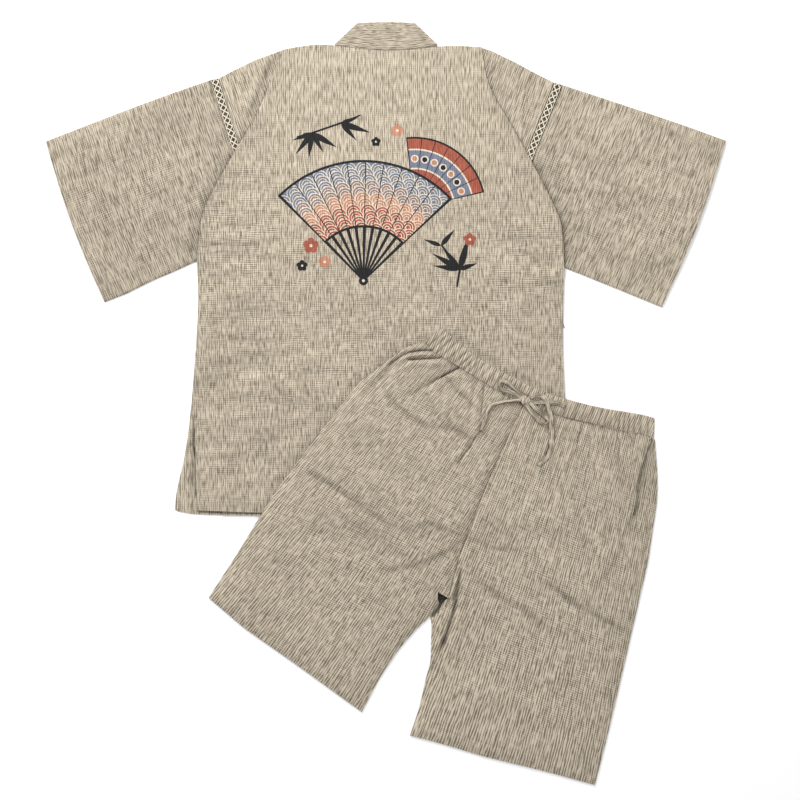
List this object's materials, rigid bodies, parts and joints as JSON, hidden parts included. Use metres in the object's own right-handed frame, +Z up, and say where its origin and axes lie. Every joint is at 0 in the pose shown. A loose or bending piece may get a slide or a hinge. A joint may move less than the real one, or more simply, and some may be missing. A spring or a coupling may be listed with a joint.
{
  "type": "jinbei set",
  "caption": "Jinbei set laid flat: a short wrap jacket with lace-joined sleeves lying back up, and drawstring shorts laid over its lower corner.",
  "frame": {"origin": "on the surface that the set lies on, under the middle of its box", "axes": "+Z up from the surface, +Y towards the jacket's neck, +X to the right seen from above"},
  "size_m": [1.088, 1.2201, 0.0146],
  "materials": {
    "crepe_cloth": "matt slub crepe in sand beige with fine darker streaks along the grain",
    "tape_cloth": "the same sand cloth sewn into a narrow matt tape",
    "lace_thread": "cream cotton lace"
  },
  "bodies": {
    "root": {"back": "crepe_cloth", "front_left": "crepe_cloth", "front_right": "crepe_cloth", "neckband": "crepe_cloth", "sleeve_left": "crepe_cloth", "sleeve_right": "crepe_cloth", "lace_back_left": "lace_thread", "lace_back_right": "lace_thread", "lace_front_left": "lace_thread", "lace_front_right": "lace_thread", "tie_side": "tape_cloth", "shorts_front_left": "crepe_cloth", "shorts_front_right": "crepe_cloth", "shorts_back_left": "crepe_cloth", "shorts_back_right": "crepe_cloth", "pocket_facing_left": "crepe_cloth", "pocket_facing_right": "crepe_cloth", "waistband": "crepe_cloth", "drawstring_knot": "tape_cloth", "drawstring_loop_left": "tape_cloth", "drawstring_loop_right": "tape_cloth", "drawstring_strand_left": "tape_cloth", "drawstring_tail_left": "tape_cloth", "drawstring_tail_right": "tape_cloth"}
  },
  "joints": []
}
